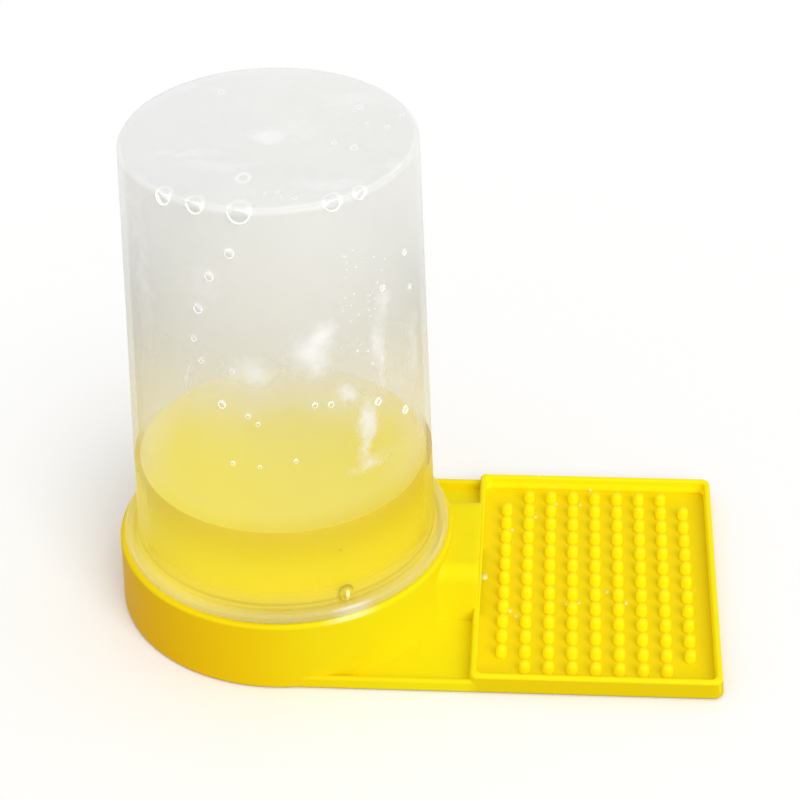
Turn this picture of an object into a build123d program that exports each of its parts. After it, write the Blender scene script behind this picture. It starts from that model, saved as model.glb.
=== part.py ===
from build123d import *
import os

# Hive-entrance bee feeder: a cup stands mouth down in a base with a round pan, a duct and a pegged tray.
# Millimetres. The origin is on the cup's axis, on the flat underside; +X runs out to the tray's far end.

# Driving dimensions of the base
collar_radius = 48.0
collar_height = 21.3
collar_lean = 0.4
collar_wall = 2.6
rim_outer_round = 1.0
rim_inner_round = 0.4
tongue_reach = 123.8
floor_thickness = 1.2
wall_thickness = 2.2
foot_round = 0.8

# Driving dimensions of the tray and its pegs
tray_half_width = 47.6
tray_height = 5.8
tray_corner = 3.0
deck_corner = 2.2
tray_draft = 5.0
tray_lip_round = 0.7
peg_pitch = 6.56
peg_columns = 9
peg_rows = 13
peg_margin = 6.6
peg_radius = 1.6
peg_top = 5.0

# Driving dimensions of the deck and the duct
bead_height = 3.6
duct_half_width = 17.6
duct_height = 18.8
duct_round = 4.4
duct_blend = 4.0
duct_setback = 0.4
passage_corner = 3.0
slot_height = 2.4

# Driving dimensions of the cup
cup_height = 147.0
cup_wall = 1.5
cup_end_radius = 39.2
cup_foot_radius = 42.4
cup_end_round = 2.0
flange_radius = 46.3
flange_thickness = 2.6
flange_edge_round = 1.0
flange_seat_round = 0.5
flange_root_round = 0.8
mouth_height = 4.4
skirt_clearance = 0.3
skirt_lead = 0.4

# The collar leans in towards its rim, whose top is a narrow flat between two rounds
collar_rim_radius = collar_radius - collar_lean
pan_radius = collar_rim_radius - collar_wall
rim_rounds = [
    ((collar_rim_radius, collar_height), rim_outer_round),
    ((pan_radius, collar_height), rim_inner_round),
]

# The tray is as long as its columns of pegs and a margin at each end
peg_field_length = (peg_columns - 1) * peg_pitch
peg_field_width = (peg_rows - 1) * peg_pitch
tray_length = peg_field_length + 2 * peg_margin
tray_width = 2 * (tray_half_width - wall_thickness)
tray_right = tongue_reach - wall_thickness
tray_left = tray_right - tray_length
tray_middle = (tray_left + tray_right) / 2
tray_outer_length = tray_length + 2 * wall_thickness
tray_inner_corner = tray_corner - wall_thickness / 2
peg_dome = 0.85 * peg_radius

# The deck is as wide as the tray, so that its beads run into the tray's walls with no step
bead_round = 0.4 * wall_thickness

# The duct is a tunnel of even wall. It is open to the pan, and a low slot leads on under the tray's lip.
duct_end = tray_left - duct_setback
passage_half_width = duct_half_width - wall_thickness
passage_height = duct_height - wall_thickness - floor_thickness
passage_start = pan_radius / 2
passage_length = duct_end - wall_thickness - passage_start
slot_length = tray_left + wall_thickness - passage_start

os.makedirs("parts", exist_ok=True)


def in_field(column, row):
    """True where a peg stands: the first and last columns leave out their two end pegs."""
    end_column = column in (0, peg_columns - 1)
    end_row = row in (0, peg_rows - 1)
    return not (end_column and end_row)


def edges_at(builder, height):
    """The edges that lie level at that height."""
    hair = 0.01
    return builder.edges().filter_by_position(Axis.Z, height - hair, height + hair)


peg_places = [
    (tray_left + peg_margin + column * peg_pitch, row * peg_pitch - peg_field_width / 2)
    for column in range(peg_columns)
    for row in range(peg_rows)
    if in_field(column, row)
]

with BuildPart() as base:
    # Deck, a low block with leaning sides, hollowed to leave its floor and a bead along each edge
    with BuildSketch():
        with Locations((tray_middle / 2, 0)):
            Rectangle(tray_middle, 2 * tray_half_width)
    extrude(amount=bead_height, taper=tray_draft)
    with BuildSketch(Plane.XY.offset(floor_thickness)):
        with Locations((tray_middle / 2, 0)):
            Rectangle(2 * tray_middle, tray_width)
    extrude(amount=bead_height, mode=Mode.SUBTRACT)
    fillet(edges_at(base, bead_height).filter_by(Axis.X), bead_round)

    # Floor of the pan, ending inside the collar's wall
    with BuildSketch():
        Circle(pan_radius + collar_wall / 2)
    extrude(amount=floor_thickness)

    # Tray, a block with leaning sides that is hollowed next. Its corners at the deck are tighter.
    with BuildSketch() as tray_outline:
        with Locations((tray_middle, 0)):
            Rectangle(tray_outer_length, 2 * tray_half_width)
        fillet(tray_outline.vertices().group_by(Axis.X)[-1], tray_corner)
        fillet(tray_outline.vertices().group_by(Axis.X)[0], deck_corner)
    extrude(amount=tray_height, taper=tray_draft)

    # Hollow of the tray
    with BuildSketch(Plane.XY.offset(floor_thickness)):
        with Locations((tray_middle, 0)):
            RectangleRounded(tray_length, tray_width, tray_inner_corner)
    extrude(amount=collar_height, mode=Mode.SUBTRACT)

    # Rounded lip of the tray's walls
    fillet(edges_at(base, tray_height), tray_lip_round)

    # Raised duct between the collar and the tray: its sides sweep out of the collar, and its long edges are round
    with BuildSketch() as duct_outline:
        Circle(collar_rim_radius)
        with Locations((duct_end / 2, 0)):
            Rectangle(duct_end, 2 * duct_half_width)
        corners = duct_outline.vertices().filter_by_position(Axis.Y, -2 * duct_half_width, 2 * duct_half_width)
        fillet(corners.group_by(Axis.X)[-2], duct_blend)
    extrude(amount=duct_height)
    fillet(edges_at(base, duct_height).filter_by(Axis.X), duct_round)

    # Collar round the pan
    with BuildSketch(Plane.XZ) as collar_section:
        with BuildLine():
            Polyline(
                (pan_radius, 0),
                (collar_radius, 0),
                (collar_rim_radius, collar_height),
                (pan_radius, collar_height),
                close=True,
            )
        make_face()
        for corner, radius in rim_rounds:
            fillet(collar_section.vertices().sort_by_distance(corner)[0], radius)
    revolve(axis=Axis.Z)

    # Hollow of the pan
    with BuildSketch(Plane.XY.offset(floor_thickness)):
        Circle(pan_radius)
    extrude(amount=collar_height, mode=Mode.SUBTRACT)

    # Passage through the duct from the pan, and the slot from there to the tray
    with BuildSketch(Plane.YZ.offset(passage_start)) as passage_section:
        with Locations((0, floor_thickness)):
            Rectangle(2 * passage_half_width, passage_height, align=(Align.CENTER, Align.MIN))
        fillet(passage_section.vertices().group_by(Axis.Y)[-1], passage_corner)
    extrude(amount=passage_length, mode=Mode.SUBTRACT)
    with BuildSketch(Plane.YZ.offset(passage_start)):
        with Locations((0, floor_thickness)):
            Rectangle(2 * passage_half_width, slot_height, align=(Align.CENTER, Align.MIN))
    extrude(amount=slot_length, mode=Mode.SUBTRACT)

    # Pegs that the bees stand on, domed on top
    with BuildSketch(Plane.XY.offset(floor_thickness)):
        with Locations(*peg_places):
            Circle(peg_radius)
    extrude(amount=peg_top - floor_thickness)
    fillet(edges_at(base, peg_top).filter_by(GeomType.CIRCLE), peg_dome)

    # Soft edge round the underside
    fillet(edges_at(base, 0), foot_round)

base.part.label = "base"
export_step(base.part, "parts/base.step")

# The cup's wall is even all over: its inside follows its outside one wall thickness in. The skirt below the
# flange is a size larger than the foot of the wall, and fills the pan with a little play.
skirt_radius = pan_radius - skirt_clearance
flange_top = collar_height + flange_thickness
cup_rounds = [
    ((cup_end_radius, cup_height), cup_end_round),
    ((cup_end_radius - cup_wall, cup_height - cup_wall), cup_end_round - cup_wall),
    ((cup_foot_radius, flange_top), flange_root_round),
    ((flange_radius, flange_top), flange_edge_round),
    ((flange_radius, collar_height), flange_seat_round),
    ((skirt_radius - cup_wall, flange_top - cup_wall), flange_root_round),
    ((cup_foot_radius - cup_wall, flange_top - cup_wall), flange_root_round),
]

with BuildPart() as cup:
    with BuildSketch(Plane.XZ) as cup_section:
        with BuildLine():
            Polyline(
                (0, cup_height),
                (cup_end_radius, cup_height),
                (cup_foot_radius, flange_top),
                (flange_radius, flange_top),
                (flange_radius, collar_height),
                (skirt_radius, collar_height),
                (skirt_radius - skirt_lead, mouth_height),
                (skirt_radius - skirt_lead - cup_wall, mouth_height),
                (skirt_radius - cup_wall, flange_top - cup_wall),
                (cup_foot_radius - cup_wall, flange_top - cup_wall),
                (cup_end_radius - cup_wall, cup_height - cup_wall),
                (0, cup_height - cup_wall),
                close=True,
            )
        make_face()
        for corner, radius in cup_rounds:
            fillet(cup_section.vertices().sort_by_distance(corner)[0], radius)
    revolve(axis=Axis.Z)

cup.part.label = "reservoir_cup"
export_step(cup.part, "parts/reservoir_cup.step")
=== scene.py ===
import math
import random

import bmesh
import bpy
from mathutils import Matrix, Vector


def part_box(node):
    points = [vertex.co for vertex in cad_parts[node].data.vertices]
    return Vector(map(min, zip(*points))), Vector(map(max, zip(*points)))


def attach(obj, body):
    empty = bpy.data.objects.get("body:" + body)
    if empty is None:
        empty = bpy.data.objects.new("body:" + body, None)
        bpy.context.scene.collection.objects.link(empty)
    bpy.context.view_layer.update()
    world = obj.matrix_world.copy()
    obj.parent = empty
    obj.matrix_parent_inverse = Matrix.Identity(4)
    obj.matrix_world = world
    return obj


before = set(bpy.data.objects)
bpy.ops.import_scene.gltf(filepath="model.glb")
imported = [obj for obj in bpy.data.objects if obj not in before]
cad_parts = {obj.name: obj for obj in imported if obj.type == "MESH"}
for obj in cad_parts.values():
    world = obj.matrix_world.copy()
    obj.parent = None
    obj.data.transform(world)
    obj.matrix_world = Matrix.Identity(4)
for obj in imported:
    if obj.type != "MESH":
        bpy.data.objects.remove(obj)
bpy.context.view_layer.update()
MM = 0.001

# The view: the feeder is seen from above its long front side, a little to the right of the cup.
# The picture is square, and the middle of the lens looks at a point between the cup and the tray.
PICTURE = 800
SENSOR = 36.0
LENS = 113.37
VIEW_TURN = math.radians(3.93)
VIEW_RISE = math.radians(34.41)
VIEW_ROLL = math.radians(-0.94)
VIEW_TARGET = Vector((33.05, 0, 64.52)) * MM
VIEW_DISTANCE = 696.6 * MM


def direction(turn, rise):
    """The way from the object to something that stands a turn to the right of its front, and a rise up."""
    return Vector((math.sin(turn) * math.cos(rise), -math.cos(turn) * math.cos(rise), math.sin(rise)))


towards_eye = direction(VIEW_TURN, VIEW_RISE)
level = Vector((math.cos(VIEW_TURN), math.sin(VIEW_TURN), 0))
upright = towards_eye.cross(level)
picture_right = level * math.cos(VIEW_ROLL) + upright * math.sin(VIEW_ROLL)
picture_up = upright * math.cos(VIEW_ROLL) - level * math.sin(VIEW_ROLL)
eye = VIEW_TARGET + towards_eye * VIEW_DISTANCE

camera = bpy.data.objects.new("camera", bpy.data.cameras.new("camera"))
camera.data.sensor_width = SENSOR
camera.data.lens = LENS
turned = Matrix((picture_right, picture_up, towards_eye)).transposed().to_4x4()
camera.matrix_world = Matrix.Translation(eye) @ turned
bpy.context.scene.collection.objects.link(camera)
bpy.context.scene.camera = camera


def sight(pixel):
    """The direction from the eye through a pixel of the picture."""
    reach = LENS / SENSOR * PICTURE
    middle = PICTURE / 2
    across = (pixel[0] - middle) / reach
    up = (middle - pixel[1]) / reach
    return (picture_right * across + picture_up * up - towards_eye).normalized()


def hit(piece, pixel):
    """The place on a piece that is seen at a pixel, and the way the piece faces there."""
    inward = piece.matrix_world.inverted()
    found, spot, facing, _ = piece.ray_cast(inward @ eye, inward.to_3x3() @ sight(pixel))
    if not found:
        raise ValueError(f"nothing of {piece.name} is seen at {pixel}")
    return piece.matrix_world @ spot, (piece.matrix_world.to_3x3() @ facing).normalized()


# Base: one injection moulding in glossy yellow polypropylene, with the round pan, the deck, the duct and
# the tray of pegs all in one piece. The pigment is a little uneven, and the mould has left a faint grain.
# The base is painted a deeper amber towards its left as shade, the tray floor and the outer faces of
# the tray's walls are painted darker as shade, the pegs have a weak painted glow, and the collar's rim
# a painted highlight.
YELLOW = (0.90, 0.78, 0.007, 1)
DEEP_YELLOW = (0.89, 0.73, 0.005, 1)
TRAY_YELLOW = (0.94, 0.79, 0.006, 1)
TRAY_FLOOR_SHADE = (0.90, 0.72, 0.005, 1)
TRAY_SIDE_SHADE = (0.83, 0.62, 0.004, 1)
SHADE_AMBER = (0.90, 0.48, 0.003, 1)
SCUFF = (0.9, 0.9, 0.6, 1)
PEG_PAINTED_GLOW = (0.15, 0.12, 0.0015, 1)
GLINT_YELLOW = (0.98, 0.93, 0.42, 1)
BLACK = (0, 0, 0, 1)
SHADE_START = -48 * MM
SHADE_END = 42 * MM
TRAY_START = 55 * MM
TRAY_END = 123.8 * MM
TRAY_EDGE = 47.6 * MM
LIP_HEIGHT = 5.8 * MM
RIM_HEIGHT = 21.3 * MM
PEG_FOOT = 1.2 * MM
PEG_TOP = 5.0 * MM
PIGMENT_SCALE = 30
CLOUD_SCALE = 160
SCRATCH_SCALE = 240
GRAIN_SCALE = 2600
GRAIN_DEPTH = 0.15 * MM
RIM_GLINT = [((352, 616.5), (10, 10, 4), 1)]
SCUFFS = [((536, 479), (5, 5, 2.5), 1), ((549, 484), (6, 6, 2), 1), ((562, 488), (4, 4, 2), 1)]
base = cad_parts["base"]


class Wire:
    """One output of a shader node. Sums of wires and numbers add the Math nodes that work them out."""

    def __init__(self, tree, socket=None):
        self.tree = tree
        self.socket = socket

    def node(self, kind, settings=None, sockets=None, output=0):
        """Adds a node: its settings first, then its sockets' values or wires. Gives one of its outputs."""
        made = self.tree.nodes.new(kind)
        for name, value in (settings or {}).items():
            setattr(made, name, value)
        for name, value in (sockets or {}).items():
            if isinstance(value, Wire):
                self.tree.links.new(value.socket, made.inputs[name])
            else:
                made.inputs[name].default_value = value
        return Wire(self.tree, made.outputs[output] if made.outputs else None)

    def math(self, operation, first, second=0.0):
        return self.node("ShaderNodeMath", {"operation": operation}, {0: first, 1: second})

    def __add__(self, other):
        return self.math("ADD", self, other)

    def __sub__(self, other):
        return self.math("SUBTRACT", self, other)

    def __mul__(self, other):
        return self.math("MULTIPLY", self, other)

    def __pow__(self, other):
        return self.math("POWER", self, other)

    def __rsub__(self, other):
        return self.math("SUBTRACT", other, self)

    __radd__ = __add__
    __rmul__ = __mul__

    def larger(self, other):
        return self.math("MAXIMUM", self, other)

    def rise(self, low, high):
        """Goes smoothly from 0 at low to 1 at high."""
        span = {"Value": self, "From Min": low, "From Max": high}
        return self.node("ShaderNodeMapRange", {"interpolation_type": "SMOOTHSTEP"}, span)

    def band(self, middle, half):
        """1 at the middle value, going down to 0 at half a width to either side."""
        away = self.math("ABSOLUTE", self - middle)
        return 1 - away.rise(0, half)

    def blend(self, first, second):
        """A colour that goes from the first to the second as this wire goes from 0 to 1."""
        return self.node("ShaderNodeMix", {"data_type": "RGBA"}, {0: self, 6: first, 7: second}, output=2)

    def vector(self, operation, other):
        return self.node("ShaderNodeVectorMath", {"operation": operation}, {0: self, 1: other})

    def length(self):
        return self.node("ShaderNodeVectorMath", {"operation": "LENGTH"}, {0: self}, output="Value")

    def axis(self, name):
        return self.node("ShaderNodeSeparateXYZ", sockets={0: self}, output=name)

    def from_axis(self):
        """How far this place is from the upright axis."""
        return self.vector("MULTIPLY", (1, 1, 0)).length()

    def noise(self, scale, detail=2.0, stretch=(1, 1, 1)):
        """Cloudy noise from 0 to 1 on this place, scale clouds to the metre, drawn out along some axes."""
        sockets = {"Vector": self.vector("MULTIPLY", stretch), "Scale": scale, "Detail": detail}
        return self.node("ShaderNodeTexNoise", sockets=sockets)

    def bump(self, strength, distance):
        sockets = {"Height": self, "Strength": strength, "Distance": distance}
        return self.node("ShaderNodeBump", sockets=sockets, output="Normal")


def start_finish(name):
    """A material with no nodes yet, and the wire that every finish starts from: the place on the piece."""
    material = bpy.data.materials.new(name)
    material.use_nodes = True
    material.node_tree.nodes.clear()
    place = Wire(material.node_tree).node("ShaderNodeTexCoord", output="Object")
    return material, place


def close_finish(place, **sockets):
    """Ends a finish in one shader, with its sockets named as the shader names them."""
    named = {name.replace("_", " "): value for name, value in sockets.items()}
    surface = place.node("ShaderNodeBsdfPrincipled", sockets=named)
    place.node("ShaderNodeOutputMaterial", sockets={"Surface": surface})


def wear(piece, material):
    """Puts one material all over a piece."""
    piece.data.materials.clear()
    piece.data.materials.append(material)


def patch(place, middle, reach):
    """A soft patch round a point, 1 in its middle and 0 from its reach along X, Y and Z on."""
    away = place.vector("SUBTRACT", middle).vector("DIVIDE", reach)
    return 1 - away.length().rise(0.1, 1.0)


def patches(place, piece, marks):
    """Patches where marks are seen on a piece. A mark has a pixel, a reach in millimetres and a strength."""
    total = 0.0
    for pixel, reach, strength in marks:
        total = strength * patch(place, hit(piece, pixel)[0], [size * MM for size in reach]) + total
    return total


yellow_plastic, place = start_finish("yellow_plastic")
pigment = place.noise(PIGMENT_SCALE, detail=3).rise(0.3, 0.7)
cloud = place.noise(CLOUD_SCALE, detail=3)
grain = place.noise(GRAIN_SCALE, detail=1)
scratches = place.noise(SCRATCH_SCALE, detail=4, stretch=(1, 9, 4)).rise(0.58, 0.7)
along = place.axis("X")
height = place.axis("Z")

on_rim = height.rise(RIM_HEIGHT - 1.3 * MM, RIM_HEIGHT - 0.2 * MM)
# painted shade: the base turns a deeper amber towards its left, less so on the rim's top
left_shade = 0.85 * (1 - along.rise(SHADE_START, SHADE_END)) * (1 - 0.7 * on_rim)
in_tray = along.rise(TRAY_START - 2 * MM, TRAY_START + 2 * MM)
raised = height.rise(PEG_FOOT, PEG_FOOT + 1.2 * MM)
domed = height.rise(PEG_TOP - 1.6 * MM, PEG_TOP - 0.6 * MM)
on_lip = height.rise(PEG_TOP, PEG_TOP + 0.3 * MM)
below_lip = 1 - height.rise(LIP_HEIGHT - 1.2 * MM, LIP_HEIGHT - 0.6 * MM)
outer_side = 1 - place.axis("Y").rise(-TRAY_EDGE + 0.5 * MM, -TRAY_EDGE + 1.2 * MM)
outer_end = along.rise(TRAY_END - 1.8 * MM, TRAY_END - 0.6 * MM)
outer = below_lip * outer_side.larger(outer_end)
on_peg = in_tray * raised * (1 - outer)

# painted shade: the tray floor between the pegs is darker than the pegs, and the outer faces of the front and
# right walls below the lip are darker still
tray_shaded_yellow = outer.blend(raised.blend(TRAY_FLOOR_SHADE, TRAY_YELLOW), TRAY_SIDE_SHADE)
plain = in_tray.blend(pigment.blend(DEEP_YELLOW, YELLOW), tray_shaded_yellow)
# painted highlight: a pale glint on the front right of the collar's rim
rim_glint = on_rim * patches(place, base, RIM_GLINT)
glinting = (0.7 * rim_glint).blend(left_shade.blend(plain, SHADE_AMBER), GLINT_YELLOW)
close_finish(
    place,
    Base_Color=(0.3 * patches(place, base, SCUFFS) * scratches).blend(glinting, SCUFF),
    Roughness=0.34 + 0.12 * cloud + 0.1 * scratches,
    Specular_IOR_Level=0.03,
    Coat_Weight=0.12 * in_tray * domed * (1 - on_lip),
    Coat_Roughness=0.2,
    # painted light: the pegs glow weakly, less on their domes, to lift the shade between them
    Emission_Color=(on_peg * (1 - 0.6 * domed)).blend(BLACK, PEG_PAINTED_GLOW),
    Emission_Strength=1.0,
    Normal=(grain * 0.5 + cloud).bump(0.12, GRAIN_DEPTH),
)
wear(base, yellow_plastic)

# Cup: a tapered cup in milky polypropylene, moulded through a gate in the middle of its closed end, and
# stood mouth down in the base. It is fogged inside above the liquid, with smears where it was wiped and
# drops on its closed end, and almost clear where the liquid wets it. The yellow in its foot, flange and wet
# wall is the base's and the liquid's, painted into its colour, and its highlights, glows and shade are
# painted as marked below.
WATER_LEVEL = 48.1 * MM
CUP_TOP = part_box("reservoir_cup")[1].z
CUP_END_RADIUS = 39.2 * MM
CUP_FOOT_RADIUS = 42.4 * MM
CUP_FOOT = 23.9 * MM
ROOT_RADIUS = 43.7 * MM
MILK_WHITE = (0.915, 0.92, 0.92, 1)
MILK_GREY = (0.75, 0.76, 0.76, 1)
MILK_LOW = (0.54, 0.545, 0.535, 1)
MILK_COOL_SHADE = (0.76, 0.785, 0.81, 1)
MILK_OUTLINE = (0.56, 0.61, 0.66, 1)
MILK_GLOW = (0.90, 0.80, 0.34, 1)
MILK_SCATTER = (0.21, 0.21, 0.205, 1)
LIT_THROUGH = (0.18, 0.16, 0.02, 1)
FLANGE_CREAM = (0.74, 0.64, 0.21, 1)
FLANGE_ROOT_SHADE = (0.70, 0.58, 0.08, 1)
WET_YELLOW = (0.88, 0.76, 0.10, 1)
WET_EDGE = (0.84, 0.68, 0.04, 1)
HAZE_SCALE = 34
LOOSE_SCALE = 150
LOOSE_REACH = 7 * MM
SMEARS = [
    ((325, 334), (5, 5, 6), 0.45),
    ((312, 357), (8, 8, 9), 0.48),
    ((252, 373), (9, 9, 6), 0.40),
    ((383, 305), (4, 4, 7), 0.33),
    ((378, 346), (5, 5, 11), 0.40),
    ((381, 378), (2.4, 2.4, 10), 0.30),
    ((349, 394), (4, 4, 6), 0.45),
    ((369, 420), (4.5, 4.5, 10), 0.65),
    ((366, 450), (4, 4, 8), 0.55),
    ((188, 376), (2, 2, 9), 0.25),
    ((414, 350), (5, 5, 16), 0.30),
    ((424, 405), (7, 7, 14), 0.30),
    ((205, 285), (5, 5, 9), 0.20),
    ((143, 270), (5, 5, 36), 0.25),
    ((375, 463), (12, 12, 2.2), 0.30),
]
END_HAZE = [
    ((268.5, 136), (6.5, 6.5, 6), 0.30),
    ((215, 165), (13, 5, 6), 0.35),
    ((190, 153), (12, 3, 6), 0.25),
    ((300, 130), (9, 7, 6), 0.20),
    ((330, 185), (14, 5, 6), 0.30),
    ((188, 85), (5, 6, 6), 0.20),
    ((350, 100), (12, 6, 6), 0.15),
    ((396, 171), (3, 7, 6), 0.50),
]
GATE_MARK = [((268.5, 137), (5, 5, 6), 1.3)]
END_RINGS = [
    ((243, 178), 3.9), ((221, 92), 1.8), ((359, 107), 2.0), ((354, 148), 2.2),
    ((334, 143), 1.5), ((387, 127), 1.5), ((368, 123), 1.3), ((402, 115), 1.3),
    ((265, 193), 1.0), ((277, 192), 1.1), ((281, 196), 0.9), ((295, 198), 1.1),
]
EDGE_DROPS = [
    ((163, 195), 4.7), ((194.5, 203), 5.1), ((238.5, 210), 6.4),
    ((332, 200.5), 5.1), ((359.5, 191.5), 3.8),
]
FLANGE_GLINT = (353, 606.5)
FLANGE_GLINT_REACH = (8 * MM, 8 * MM, 8 * MM)
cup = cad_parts["reservoir_cup"]
cup_lean = (CUP_FOOT_RADIUS - CUP_END_RADIUS) / (CUP_TOP - CUP_FOOT)


def facing_away(place):
    """0 where a see-through surface faces the viewer, and 1 where it turns away."""
    return place.node("ShaderNodeLayerWeight", sockets={"Blend": 0.5}, output="Facing")


def shaken(place, scale, reach):
    """The place moved about at random, by half the reach to any side, which gives a patch loose edges."""
    sockets = {"Vector": place, "Scale": scale, "Detail": 2.0}
    cloud = place.node("ShaderNodeTexNoise", sockets=sockets, output="Color")
    moved = place.vector("ADD", cloud.vector("MULTIPLY", (reach, reach, reach)))
    return moved.vector("SUBTRACT", (reach / 2, reach / 2, reach / 2))


def ringed(place, pixel, width):
    """A painted highlight: the bright outline of a flat drop on the closed end, drawn out a little from front
    to rear.
    """
    away = place.vector("SUBTRACT", hit(cup, pixel)[0]).vector("MULTIPLY", (1, 0.75, 0))
    return away.length().band(0.42 * width, 0.15 * width + 0.14 * MM)


milky_plastic, place = start_finish("milky_plastic")
across = place.axis("X")
height = place.axis("Z")
radius = place.from_axis()
clouds = place.noise(HAZE_SCALE, detail=4, stretch=(1, 1, 0.6))
loose = shaken(place, LOOSE_SCALE, LOOSE_REACH)
facing = facing_away(place)

up_wall = height - CUP_FOOT
on_wall = up_wall.rise(0.2 * MM, 0.8 * MM)
flange = 1 - on_wall
foot = 1 - up_wall.rise(0.5 * MM, 7 * MM)
# painted shade: a darker olive line round the root of the wall on the flange
root_shade = 1 - radius.rise(ROOT_RADIUS - 0.5 * MM, ROOT_RADIUS + 0.5 * MM)
root_shade = root_shade * (1 - up_wall.rise(0.8 * MM, 2 * MM))
outside = (radius + cup_lean * up_wall).rise(CUP_FOOT_RADIUS - 1.0 * MM, CUP_FOOT_RADIUS - 0.5 * MM)

over_liquid = height - WATER_LEVEL
above = over_liquid.rise(-0.1 * MM, 0.1 * MM)
wet_wall = on_wall * (1 - over_liquid.rise(-6 * MM, 8 * MM))
glow = 1 - over_liquid.rise(4 * MM, 66 * MM)
fog = over_liquid.rise(14 * MM, 79 * MM)
upper = over_liquid.rise(40 * MM, 97 * MM)
# painted refraction: below the level the wall near its silhouette takes the liquid's yellow out to its edge
filled = 0.9 * (1 - above) * outside * facing.rise(0.62, 0.78)

below_end = CUP_TOP - height
on_end = 1 - below_end.rise(0.1 * MM, 0.5 * MM)
near_end = 1 - below_end.rise(1.0 * MM, 1.6 * MM)
in_front = 1 - place.axis("Y").rise(-40 * MM, 6 * MM)
# painted highlight: a bright arc along the front of the closed end's edge
edge_highlight = below_end.band(0.8 * MM, 1.3 * MM) * in_front
edge_highlight = edge_highlight * radius.rise(CUP_END_RADIUS - 2.4 * MM, CUP_END_RADIUS - 0.8 * MM)
# painted highlights: the bright outlines of flat drops on the closed end
drop_outline_highlights = 0.0
for pixel, width in END_RINGS:
    drop_outline_highlights = ringed(place, pixel, width * MM) + drop_outline_highlights
for pixel, width in EDGE_DROPS:
    drop_outline_highlights = 0.5 * ringed(place, pixel, width * MM) + drop_outline_highlights
# the end's haze is real; the gate mark is a real mark, also painted brighter as a highlight
end_marks_and_highlights = on_end * (patches(loose, cup, END_HAZE) + patches(place, cup, GATE_MARK))
end_marks_and_highlights = end_marks_and_highlights + 1.5 * near_end * drop_outline_highlights
smear = patches(loose, cup, SMEARS) * above

haze = 0.19 + 0.21 * fog + 0.08 * (clouds - 0.5)
milk = haze + (1 - haze) * 0.35 * facing ** 4 + 0.55 * foot + 0.6 * smear
milk = milk + 0.14 * on_end + 0.16 * edge_highlight + 0.4 * end_marks_and_highlights
white = (0.8 * clouds + end_marks_and_highlights + 0.25 * edge_highlight + 0.3 * on_end).blend(MILK_GREY, MILK_WHITE)
white = (1 - upper).blend(white, MILK_LOW)
# painted shade: a thin blue-grey line where the wall turns away at its silhouette
white = (0.6 * facing.rise(0.8, 0.97) * (1 - on_end)).blend(white, MILK_OUTLINE)
# painted shade: the left of the closed end is a cooler grey
end_left_shade = 0.7 * on_end * (1 - edge_highlight) * (1 - across.rise(-34 * MM, 8 * MM)) * (1 - end_marks_and_highlights)
# painted light: the wall turns yellow near the liquid, as the liquid's yellow light spreads into it
misted = glow.blend(end_left_shade.blend(white, MILK_COOL_SHADE), MILK_GLOW)
dry_colour = (2 * smear).blend(misted, MILK_WHITE)
# painted: the wet wall takes the yellow of the liquid behind it
wall_colour = filled.blend(wet_wall.blend(dry_colour, WET_YELLOW), WET_EDGE)

# painted: the flange's cream is the base's yellow seen through it, with a painted highlight along its front
# right
glint_middle = hit(cup, FLANGE_GLINT)[0]
glint = radius.band(glint_middle.xy.length, 0.7 * MM) * patch(place, glint_middle, FLANGE_GLINT_REACH)
flange_colour = (0.9 * glint).blend(FLANGE_CREAM, MILK_WHITE)
# painted light: a weak yellow glow on the left of the wet wall and flange, and on the right of the flange
lit_left = (wet_wall + 1.5 * flange) * (1 - across.rise(-46 * MM, 6 * MM))
lit_right = 0.7 * flange * across.rise(14 * MM, 46 * MM)
lit_colour = (lit_left + lit_right).blend(BLACK, LIT_THROUGH)
close_finish(
    place,
    Base_Color=root_shade.blend(flange.blend(wall_colour, flange_colour), FLANGE_ROOT_SHADE),
    Roughness=0.34 + 0.15 * clouds,
    Specular_IOR_Level=0.2,
    # painted light: the fogged wall glows weakly where it turns away, except on the closed end
    Emission_Color=(fog * facing * (1 - on_end)).blend(lit_colour, MILK_SCATTER),
    Emission_Strength=1.0,
    Alpha=0.72 * flange + on_wall * (milk * above.larger(outside)).larger(filled),
)
cup.visible_shadow = False
wear(cup, milky_plastic)

# Liquid: thin sugar syrup, which fills the cup's foot up to a level line. The base's yellow that it shows
# is painted into its colour. It stays in the cup because no air gets in above it. Its top is painted pale
# against the far wall and deeper in a crescent at the front right; its side is painted darker as shade
# just under the level line, and its left has a weak painted glow.
CUP_WALL = 1.5 * MM
LIQUID_GAP = 0.15 * MM
LIQUID_EDGE = 0.12 * MM
EDGE_STEPS = 5
TOP_INSETS = (18 * MM, 4 * MM, 1 * MM)
SIDE_END = 1 * MM
STEP_ROUND = 0.6 * MM
SHOULDER_DROP = 0.4 * MM
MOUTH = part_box("reservoir_cup")[0].z
FLANGE_UNDER = 22.4 * MM
SKIRT_TOP_RADIUS = 43.2 * MM
SKIRT_FOOT_RADIUS = 42.8 * MM
LIQUID_SIDES = 160
LIQUID_TOP = (0.92, 0.80, 0.06, 1)
LIQUID_FAR = (0.95, 0.89, 0.70, 1)
LIQUID_NEAR = (0.86, 0.69, 0.02, 1)
LIQUID_LIT = (0.11, 0.10, 0.015, 1)
LIQUID_SHADE_UNDER_LINE = (0.80, 0.61, 0.011, 1)
LIQUID_LOW = (0.91, 0.76, 0.013, 1)
PALE_MIDDLE = Vector((-4, 5, 0)) * MM
SWIRL_SCALE = 40


def round_steps(sides):
    """The cosine and the sine of even steps once round."""
    turns = [2 * math.pi * side / sides for side in range(sides)]
    return [(math.cos(turn), math.sin(turn)) for turn in turns]


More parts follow.
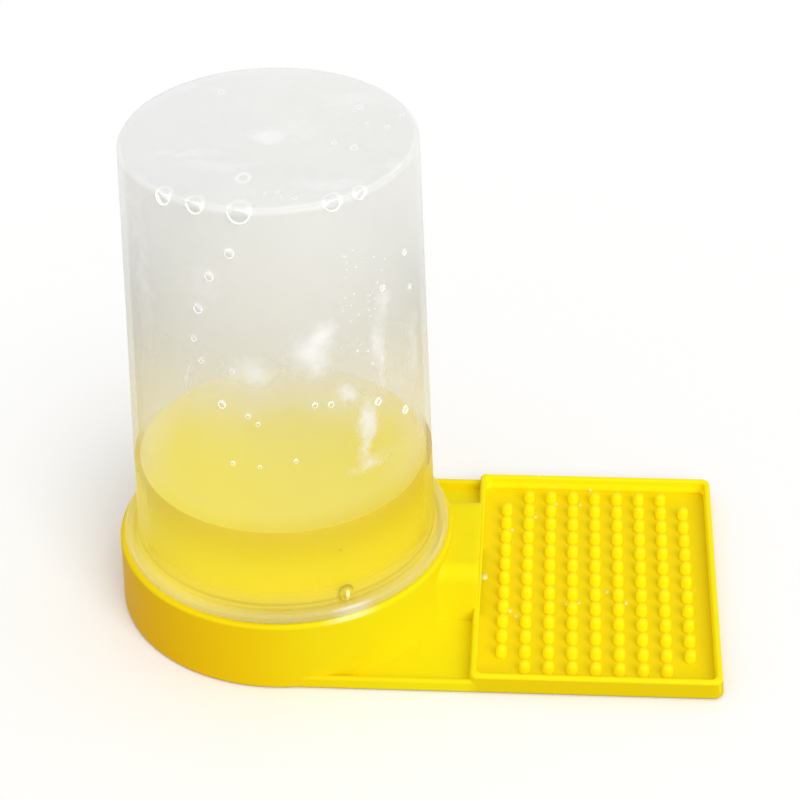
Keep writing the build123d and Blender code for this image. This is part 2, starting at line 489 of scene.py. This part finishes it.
def join_rings(mesh, rings, sides):
    """Makes the faces between a row of rings of points. A ring of one point closes an end."""
    for first, second in zip(rings, rings[1:]):
        for side in range(sides):
            after = (side + 1) % sides
            corners = [first[side % len(first)], second[side % len(second)]]
            corners += [second[after % len(second)], first[after % len(first)]]
            mesh.faces.new(dict.fromkeys(corners))


def finish_mesh(name, mesh):
    """Turns a mesh in the making into a smooth piece of the scene."""
    bmesh.ops.recalc_face_normals(mesh, faces=mesh.faces)
    data = bpy.data.meshes.new(name)
    mesh.to_mesh(data)
    mesh.free()
    data.shade_smooth()
    piece = bpy.data.objects.new(name, data)
    bpy.context.scene.collection.objects.link(piece)
    return piece


def spin(name, outline, sides):
    """A round closed piece from an outline of (radius, height) points that starts and ends on the axis."""
    mesh = bmesh.new()
    rings = []
    for reach, z in outline:
        steps = round_steps(sides) if reach else [(0, 0)]
        rings.append([mesh.verts.new((reach * c, reach * s, z)) for c, s in steps])
    join_rings(mesh, rings, sides)
    return finish_mesh(name, mesh)


def inside(z):
    """The radius that the liquid fills at a height in the cup's tapered part."""
    share = (z - CUP_FOOT) / (CUP_TOP - CUP_FOOT)
    outer_radius = CUP_FOOT_RADIUS + share * (CUP_END_RADIUS - CUP_FOOT_RADIUS)
    return outer_radius - CUP_WALL - LIQUID_GAP


liquid_outline = [(0, WATER_LEVEL)]
for inset in TOP_INSETS:
    liquid_outline.append((inside(WATER_LEVEL) - inset, WATER_LEVEL))
for step in range(EDGE_STEPS + 1):
    turn = math.pi / 2 * step / EDGE_STEPS
    out = inside(WATER_LEVEL) - LIQUID_EDGE * (1 - math.sin(turn))
    liquid_outline.append((out, WATER_LEVEL - LIQUID_EDGE * (1 - math.cos(turn))))
liquid_outline += [
    (inside(WATER_LEVEL - SIDE_END), WATER_LEVEL - SIDE_END),
    (inside(FLANGE_UNDER + SIDE_END), FLANGE_UNDER + SIDE_END),
    (inside(FLANGE_UNDER) + STEP_ROUND, FLANGE_UNDER - STEP_ROUND / 2),
    (SKIRT_TOP_RADIUS - SIDE_END, FLANGE_UNDER - SHOULDER_DROP),
    (SKIRT_TOP_RADIUS - 2 * LIQUID_GAP, FLANGE_UNDER - 3 * SHOULDER_DROP),
    (SKIRT_FOOT_RADIUS - 2 * LIQUID_GAP, MOUTH + LIQUID_GAP),
    (0, MOUTH + LIQUID_GAP),
]
liquid = spin("syrup_in_cup", liquid_outline, LIQUID_SIDES)

syrup, place = start_finish("syrup")
over_liquid = place.axis("Z") - WATER_LEVEL
swirl = place.noise(SWIRL_SCALE, detail=3)
# painted shade: darker just under the level line, brighter lower down
shade_under_line = over_liquid.rise(-16 * MM, -2 * MM)
body = (shade_under_line * (0.7 + 0.5 * swirl)).blend(LIQUID_LOW, LIQUID_SHADE_UNDER_LINE)
# painted light: the top is pale towards the far wall and deeper in a crescent at the front right
back = place.axis("Y") + 30 * MM * (swirl - 0.5)
pale_side = 0.6 * place.from_axis().rise(28 * MM, 41 * MM) * back.rise(-30 * MM, 0)
far = back.rise(2 * MM, 42 * MM).larger(pale_side)
from_pale = place.vector("SUBTRACT", PALE_MIDDLE).from_axis()
crescent = 0.8 * (from_pale + 6 * MM * (swirl - 0.5)).rise(38 * MM, 47 * MM)
top = crescent.blend(far.blend(LIQUID_TOP, LIQUID_FAR), LIQUID_NEAR)
on_top = over_liquid.rise(-2 * LIQUID_EDGE, -LIQUID_EDGE)
close_finish(
    place,
    Base_Color=on_top.blend(body, top),
    Roughness=0.3 + 0.1 * swirl,
    Specular_IOR_Level=0.1,
    # painted light: a weak glow on the liquid's left
    Emission_Color=(1 - place.axis("X").rise(-30 * MM, 24 * MM)).blend(BLACK, LIQUID_LIT),
    Emission_Strength=1.0,
    Alpha=0.9 + 0.1 * swirl,
)
wear(liquid, syrup)
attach(liquid, "cup")

# Drops: water that has run down from the cup's closed end and hangs on its wall, what was splashed on it,
# and a few drops left in the tray. Each is a clear cap stuck to what it sits on, and hangs lower than it
# spreads. Those on the edge of the closed end stop level with it. Their bright rings, yellow tops and glints
# are painted highlights and reflections, and those below the liquid's level are painted yellow for it.
WALL_DROPS = [
    ((229, 253), 2.6), ((209, 276), 2.4), ((198, 308), 2.6), ((194, 338), 1.7), ((201, 360), 1.5),
    ((232, 371), 1.3), ((404, 252), 1.7), ((382, 288), 1.6), ((409, 286), 1.5), ((222, 404), 2.2),
    ((248, 416), 1.4), ((258, 424), 1.2), ((315, 405), 1.6), ((331, 404), 1.7), ((378, 401), 2.2),
    ((405, 409), 2.3), ((233, 463), 1.2), ((296, 461), 1.2), ((260, 467), 1.0), ((341, 550), 0.8),
]
FOOT_DROP = [((346, 592), 4.6)]
FOOT_GLINT = [((348, 594), (0.9, 2, 2.4), 1)]
TRAY_DROPS = [
    ((484, 577), 2.4), ((590, 491), 1.3), ((556, 504), 1.2), ((580, 505), 1.0),
    ((535, 517), 1.3), ((512, 530), 1.2), ((607, 592), 1.3), ((626, 603), 1.2),
    ((510, 611), 1.4), ((516, 616), 1.2), ((566, 604), 1.0), ((579, 603), 1.0),
]
MIST_SEED = 7
MIST_CORNER = (339, 249)
MIST_SPAN = (52, 115)
MIST_COUNT = 38
MIST_SMALL = 0.35
MIST_LARGE = 0.8
DROP_GREY = (0.50, 0.51, 0.50, 1)
DROP_HIGHLIGHT_WHITE = (0.96, 0.97, 0.97, 1)
DROP_YELLOW_REFLECTION = (0.92, 0.82, 0.30, 1)
DROP_AMBER = (0.86, 0.70, 0.05, 1)
DROP_HONEY = (0.92, 0.80, 0.06, 1)
DROP_SINK = 0.06 * MM
DROP_SIDES = 20
DROP_RINGS = 7
DROP_RISE = 0.28
DROP_HANG = 0.16
DROP_LENGTH = 1.08
DROP_SHOULDER = 0.8
CUP_RIPPLE_SCALE = 700
TRAY_RIPPLE_SCALE = 900


def add_drop(mesh, foot, out, down, width):
    """A cap of water: foot is its place on what carries it, out the way that faces, down the way it hangs."""
    sideways = out.cross(down).normalized()
    seat = foot - out * DROP_SINK
    tall = width * DROP_RISE + DROP_SINK
    rings = []
    for ring in range(DROP_RINGS):
        climb = ring / DROP_RINGS * math.pi / 2
        spread = width / 2 * math.cos(climb) ** DROP_SHOULDER
        middle = seat + (out * tall + down * width * DROP_HANG) * math.sin(climb)
        wide = sideways * spread
        long = down * spread * DROP_LENGTH
        rings.append([mesh.verts.new(middle + wide * c + long * s) for c, s in round_steps(DROP_SIDES)])
    rings.append([mesh.verts.new(seat + out * tall + down * width * DROP_HANG)])
    mesh.faces.new(rings[0])
    join_rings(mesh, rings, DROP_SIDES)


chance = random.Random(MIST_SEED)
mist = []
for _ in range(MIST_COUNT):
    pixel = tuple(corner + span * chance.random() for corner, span in zip(MIST_CORNER, MIST_SPAN))
    mist.append((pixel, MIST_SMALL + (MIST_LARGE - MIST_SMALL) * chance.random() ** 2))
cup_drops = bmesh.new()
for pixel, width in EDGE_DROPS + WALL_DROPS + FOOT_DROP + mist:
    spot = hit(cup, pixel)[0]
    outward = Vector((spot.x, spot.y, 0)).normalized()
    out = (outward + Vector((0, 0, cup_lean))).normalized()
    down = (outward * cup_lean - Vector((0, 0, 1))).normalized()
    add_drop(cup_drops, spot, out, down, width * MM)
every_part = cup_drops.verts[:] + cup_drops.edges[:] + cup_drops.faces[:]
level_with_end = {"plane_co": (0, 0, CUP_TOP - DROP_SINK), "plane_no": (0, 0, 1), "clear_outer": True}
cut = bmesh.ops.bisect_plane(cup_drops, geom=every_part, **level_with_end)
cut_edges = [part for part in cut["geom_cut"] if isinstance(part, bmesh.types.BMEdge)]
bmesh.ops.edgeloop_fill(cup_drops, edges=cut_edges)
cup_drops = finish_mesh("drops_on_cup", cup_drops)

water, place = start_finish("water")
dry = place.axis("Z").rise(WATER_LEVEL - 8 * MM, WATER_LEVEL)
upward = place.node("ShaderNodeTexCoord", output="Normal").axis("Z")
ripple = place.noise(CUP_RIPPLE_SCALE, detail=1)
facing = facing_away(place)
# painted highlight: a bright ring on the lower side of each drop, glowing weakly above the level, and a
# painted yellow reflection on its top
ring = facing.rise(0.19, 0.45) * (1 - upward.rise(0.15, 0.6))
yellow_reflection = facing.rise(0.3, 0.6) * upward.rise(0.35, 0.8)
# painted highlight: a glint on the drop at the cup's foot
foot_glint = patches(place, cup_drops, FOOT_GLINT)
# painted: drops below the level take the liquid's yellow, with a darker amber ring
clear = (ring + 0.2 * ripple).blend(dry.blend(DROP_HONEY, DROP_GREY), dry.blend(DROP_AMBER, DROP_HIGHLIGHT_WHITE))
close_finish(
    place,
    Base_Color=yellow_reflection.blend(clear, DROP_YELLOW_REFLECTION),
    Roughness=0.06 + 0.05 * ripple,
    Emission_Color=(dry * ring).larger(foot_glint).blend(BLACK, DROP_HIGHLIGHT_WHITE),
    Emission_Strength=0.5,
    Alpha=(0.08 + 0.85 * ring + 0.2 * yellow_reflection).larger(foot_glint),
)
wear(cup_drops, water)
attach(cup_drops, "cup")

tray_drops = bmesh.new()
for pixel, width in TRAY_DROPS:
    spot, out = hit(base, pixel)
    down = out.cross(Vector((1, 0, 0))).normalized()
    add_drop(tray_drops, spot, out, down, width * MM)
tray_drops = finish_mesh("drops_on_base", tray_drops)

# painted highlight: the tray's drops are pale yellow where they face the viewer and the tray's yellow at
# their edges
wet_glint, place = start_finish("wet_glint")
ripple = place.noise(TRAY_RIPPLE_SCALE, detail=1)
facing = facing_away(place)
close_finish(
    place,
    Base_Color=facing.rise(0.3, 0.9).blend(GLINT_YELLOW, TRAY_YELLOW),
    Roughness=0.08 + 0.06 * ripple,
    Alpha=0.9 - 0.5 * facing,
)
wear(tray_drops, wet_glint)
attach(tray_drops, "base")

# Floor and light: a pale floor with the object's own soft shadow, a broad soft lamp from the front right
# and even light from all round.
FLOOR_SIZE = 3.0
FLOOR_DROP = 0.2 * MM
WHITE = (1, 1, 1, 1)
FLOOR_FELT = (0.55, 0.52, 0.46, 1)
KEY_TURN = math.radians(30)
KEY_RISE = math.radians(38)
KEY_LIGHT = 0.49
KEY_SOFTNESS = math.radians(40)
SKY_LIGHT = 0.70

floor_mesh = bmesh.new()
bmesh.ops.create_grid(floor_mesh, x_segments=1, y_segments=1, size=FLOOR_SIZE)
floor = finish_mesh("floor", floor_mesh)
floor.location.z = -FLOOR_DROP


def seen_ray(place):
    """1 for a ray that shows the background, also by gloss or glass, and 0 for one that only lights."""
    camera_ray = place.node("ShaderNodeLightPath", output="Is Camera Ray")
    glossy_ray = place.node("ShaderNodeLightPath", output="Is Glossy Ray")
    through_ray = place.node("ShaderNodeLightPath", output="Is Transmission Ray")
    return camera_ray.larger(glossy_ray).larger(through_ray)


pale_floor, place = start_finish("pale_floor")
close_finish(
    place,
    Base_Color=seen_ray(place).blend(FLOOR_FELT, WHITE),
    Roughness=0.9,
    Specular_IOR_Level=0.0,
)
wear(floor, pale_floor)

world = bpy.data.worlds.new("studio")
world.use_nodes = True
world.node_tree.nodes.clear()
bpy.context.scene.world = world
air = Wire(world.node_tree)
strength = SKY_LIGHT + (1 - SKY_LIGHT) * seen_ray(air)
sky = air.node("ShaderNodeBackground", sockets={"Color": WHITE, "Strength": strength})
air.node("ShaderNodeOutputWorld", sockets={"Surface": sky})

key = bpy.data.objects.new("key", bpy.data.lights.new("key", "SUN"))
key.data.energy = KEY_LIGHT * math.pi
key.data.angle = KEY_SOFTNESS
key.rotation_mode = "QUATERNION"
key.rotation_quaternion = direction(KEY_TURN, KEY_RISE).to_track_quat("Z", "Y")
bpy.context.scene.collection.objects.link(key)

bpy.context.scene.view_settings.view_transform = "Standard"
